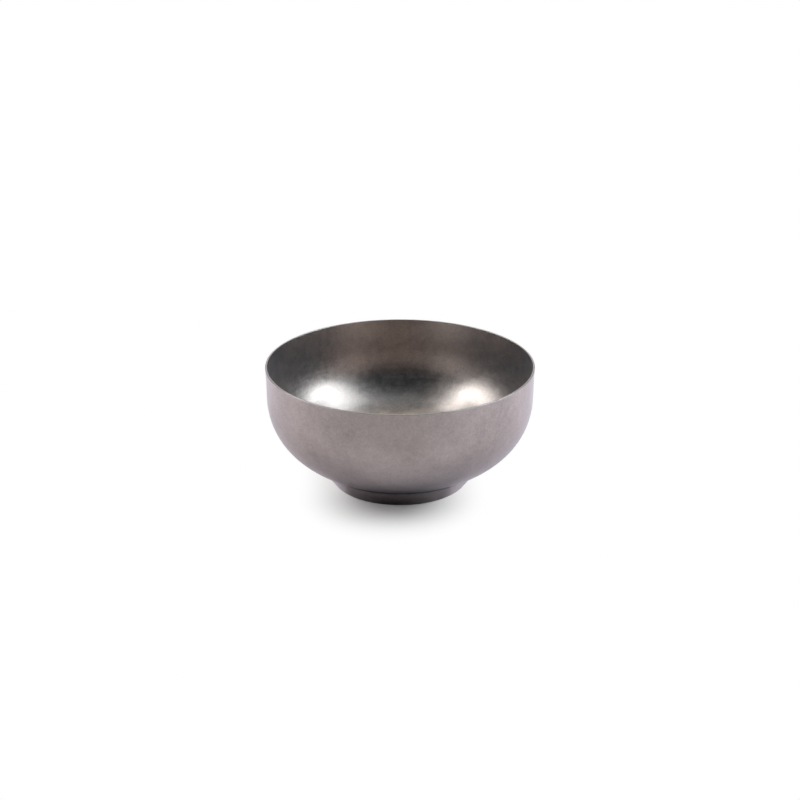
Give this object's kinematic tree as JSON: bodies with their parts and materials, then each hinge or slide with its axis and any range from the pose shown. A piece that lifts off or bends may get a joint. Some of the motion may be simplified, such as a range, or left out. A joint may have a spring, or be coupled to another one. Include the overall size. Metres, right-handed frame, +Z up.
{
  "type": "footed bowl",
  "caption": "Round single-walled serving bowl of satin stainless steel, with an upright wall, a rounded belly and a welded conical foot ring with a flat resting face.",
  "frame": {"origin": "on the table, under the middle of the bowl", "axes": "+Z up the bowl's axis, out of its mouth"},
  "size_m": [0.14, 0.14, 0.065],
  "materials": {
    "satin_steel": "fine blasted satin, slightly warm grey",
    "ground_weld": "weld ground smooth and satined with the rest"
  },
  "bodies": {
    "root": {"bowl_shell": "satin_steel", "foot_ring": "satin_steel", "foot_weld": "ground_weld"}
  },
  "joints": []
}
